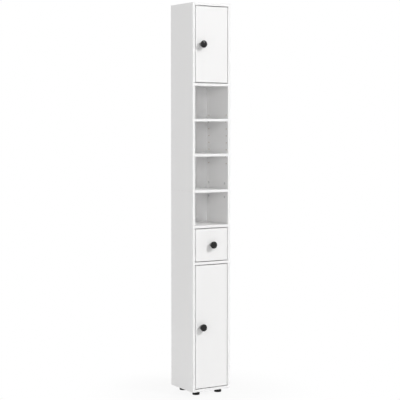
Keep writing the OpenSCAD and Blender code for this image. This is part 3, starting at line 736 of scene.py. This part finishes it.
# Adds copies of one shape at points, each turned so that its down looks along the way given
def setOut(whole, shape, places):
    pattern = bpy.data.meshes.new("pattern")
    shape.to_mesh(pattern)
    shape.free()
    for point, way, roll in places:
        start = len(whole.verts)
        whole.from_mesh(pattern)
        whole.verts.ensure_lookup_table()
        turn = Vector((0, 0, -1)).rotation_difference(Vector(way)).to_matrix().to_4x4()
        bmesh.ops.transform(
            whole, verts=whole.verts[start:],
            matrix=Matrix.Translation(point) @ turn @ Matrix.Rotation(math.radians(roll), 4, "Z"))
    bpy.data.meshes.remove(pattern)


# Places of the fittings, from the CAD's boxes: hinge and cup from the door's edges, and how far the
# screws of cup, plate, catch, runner and drawer back stand off their middles, faces or ends
fittings = {
    "hingeEnd": 60 * mm, "cupEdge": 17 * mm, "cupEar": 1 * mm, "cupScrew": 19 * mm,
    "armThick": 1.5 * mm, "plateThick": 2 * mm, "plateScrew": 16 * mm,
    "catchScrew": 16.5 * mm, "catchEar": 2.5 * mm,
    "runnerIn": 5.2 * mm, "runnerEnd": 25 * mm, "trayScrewY": 6 * mm, "trayScrewZ": 25 * mm,
}


def hingeLevels(door):
    low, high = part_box(door)
    return [low.z + fittings["hingeEnd"], high.z - fittings["hingeEnd"]]


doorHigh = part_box("upper_door_panel")[1]
cupX, doorBack = doorHigh.x - fittings["cupEdge"], doorHigh.y
upperHinges, lowerHinges = hingeLevels("upper_door_panel"), hingeLevels("lower_door_panel")
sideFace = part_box("hinge_plates")[1].x
plateY = middleOf("hinge_plates").y
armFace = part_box("hinge_plates")[0].x - fittings["armThick"]
plateFace = sideFace - fittings["plateThick"]
runnerLow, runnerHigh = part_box("drawer_runners")
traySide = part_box("drawer_side_right")
runnerFace = traySide[1].x - fittings["runnerIn"]
screwRolls = [12, 57, 31, 76, 5, 49, 22, 68]  # degrees that each screw happens to be turned by

# Screws of each node: diameter, head diameter, head height and length in mm, and whether it is sunk;
# then their places and the way that they point
screws = {
    "upper_cup_screws": [((3, 5.6, 1.6, 9, False), [
        ((cupX, doorBack + fittings["cupEar"], z + up * fittings["cupScrew"]), (0, -1, 0))
        for z in upperHinges for up in (-1, 1)])],
    "lower_cup_screws": [((3, 5.6, 1.6, 9, False), [
        ((cupX, doorBack + fittings["cupEar"], z + up * fittings["cupScrew"]), (0, -1, 0))
        for z in lowerHinges for up in (-1, 1)])],
    "hinge_screws": [((3.6, 7, 1.8, 5.25, False), [
        ((armFace, plateY, z), (1, 0, 0)) for z in upperHinges + lowerHinges]),
        ((3.4, 6.5, 0, 10, True), [
            ((plateFace, plateY, z + up * fittings["plateScrew"]), (1, 0, 0))
            for z in upperHinges + lowerHinges for up in (-1, 1)])],
    "catch_screws": [((3, 5.6, 1.6, 10.5, False), [
        ((catchMiddle.x + side * fittings["catchScrew"], catchMiddle.y, roof - fittings["catchEar"]),
         (0, 0, 1))
        for roof in roofs for side in (-1, 1)])],
    "foot_screws": [((4, 8, 2.5, 17, False), [
        ((middleOf(foot).x, middleOf(foot).y, footShape["seat"]), (0, 0, 1)) for foot in feet])],
    "runner_screws": [((3.4, 6.5, 0, (sideFace - runnerFace) / mm + 8, True), [
        ((side * runnerFace, y, middleOf("drawer_runners").z), (side, 0, 0))
        for side in (-1, 1)
        for y in (runnerLow.y + fittings["runnerEnd"], runnerHigh.y - fittings["runnerEnd"])])],
    "drawer_back_screws": [((3.5, 7, 0, 28, True), [
        ((side * traySide[1].x, traySide[1].y - fittings["trayScrewY"], z), (-side, 0, 0))
        for side in (-1, 1)
        for z in (traySide[0].z + fittings["trayScrewZ"], traySide[1].z - fittings["trayScrewZ"])])],
}
for knob in knobs:
    screws[knob + "_screw"] = [((4, 8, 2.4, 22, False), [
        ((middleOf(knob).x, doorBack, middleOf(knob).z), (0, -1, 0))])]

for node, kinds in screws.items():
    whole = bmesh.new()
    for (*lengths, sunk), spots in kinds:
        places = [
            (point, way, screwRolls[i % len(screwRolls)]) for i, (point, way) in enumerate(spots)]
        setOut(whole, makeScrewShape(*(length * mm for length in lengths), sunk), places)
    addPiece(whole, pieceName(node), node, [nickel])
print("screws:", sum(len(spots) for kinds in screws.values() for _, spots in kinds))

# Floor: pale, with the cabinet's shadow close to it, and white further out
floorLook = {"size": 16, "near": 0.15, "far": 0.6, "tone": 0.6, "wash": 0.9, "rough": 0.7}


def makeFloor():
    f = newFinish("paleFloor")
    away = f.node("ShaderNodeVectorMath", {"operation": "LENGTH"}, {0: f.place()}, output="Value")
    far = f.node("ShaderNodeMapRange", {"interpolation_type": "SMOOTHSTEP"}, {
        "Value": away, "From Min": floorLook["near"], "From Max": floorLook["far"]})
    speck = f.noise(60, 4)
    ground = f.node("ShaderNodeBsdfPrincipled", None, {
        "Base Color": f.tint(speck, grey(floorLook["tone"] * 0.99), grey(floorLook["tone"])),
        "Roughness": floorLook["rough"]})
    lit = f.node("ShaderNodeEmission", None, {"Color": (1, 1, 1, 1), "Strength": 1.0})
    wash = f.seenRays() * (floorLook["wash"] + far * (1 - floorLook["wash"]))
    mixed = f.node("ShaderNodeMixShader", None, {0: wash, 1: ground, 2: lit})
    f.node("ShaderNodeOutputMaterial", None, {"Surface": mixed})
    shape = bmesh.new()
    bmesh.ops.create_grid(shape, x_segments=8, y_segments=8, size=floorLook["size"] / 2)
    makeObject("floor", shape, [f.owner])


makeFloor()

# Studio light: an even sky, a key high on the front right, and fills from left, front and rear
skyLevel = 0.32
lamps = {
    "keyLamp": {"at": (2.94, -5.7, 5.3), "size": (0.5, 1.0), "power": 41, "fade": "Linear"},
    "leftFill": {"at": (-5.58, 2.03, 1.84), "size": (3, 3), "power": 2.4, "fade": "Constant"},
    "frontFill": {"at": (-3.31, -4.91, 1.94), "size": (3, 3), "power": 2.5, "fade": "Constant"},
    "rearFill": {"at": (2.9, 5.02, 2.55), "size": (3, 3), "power": 2.4, "fade": "Constant"},
}
sky = Finish(bpy.data.worlds.new("studio"))
scene.world = sky.owner
sky.node("ShaderNodeOutputWorld", None, {
    "Surface": sky.node("ShaderNodeBackground", None, {
        "Color": (1, 1, 1, 1), "Strength": skyLevel + sky.seenRays() * (1 - skyLevel)})})


# A lamp whose light weakens less with distance than a bare one's, so that top and bottom match
def makeLamp(name, look):
    lampData = bpy.data.lights.new(name, "AREA")
    lampData.shape = "ELLIPSE"
    lampData.size, lampData.size_y = look["size"]
    lampData.energy = look["power"]
    f = Finish(lampData)
    even = f.node("ShaderNodeLightFalloff", None, {"Strength": 1.0}, output=look["fade"])
    glow = f.node("ShaderNodeEmission", None, {"Color": (1, 1, 1, 1), "Strength": even})
    f.node("ShaderNodeOutputLight", None, {"Surface": glow})
    lamp = bpy.data.objects.new(name, lampData)
    lamp.location = look["at"]
    lamp.rotation_mode = "QUATERNION"
    lamp.rotation_quaternion = (lamp.location - Vector((0, 0, 1))).to_track_quat("Z", "Y")
    lamp.visible_camera = False
    scene.collection.objects.link(lamp)


for name, look in lamps.items():
    makeLamp(name, look)
print("floor and light done")
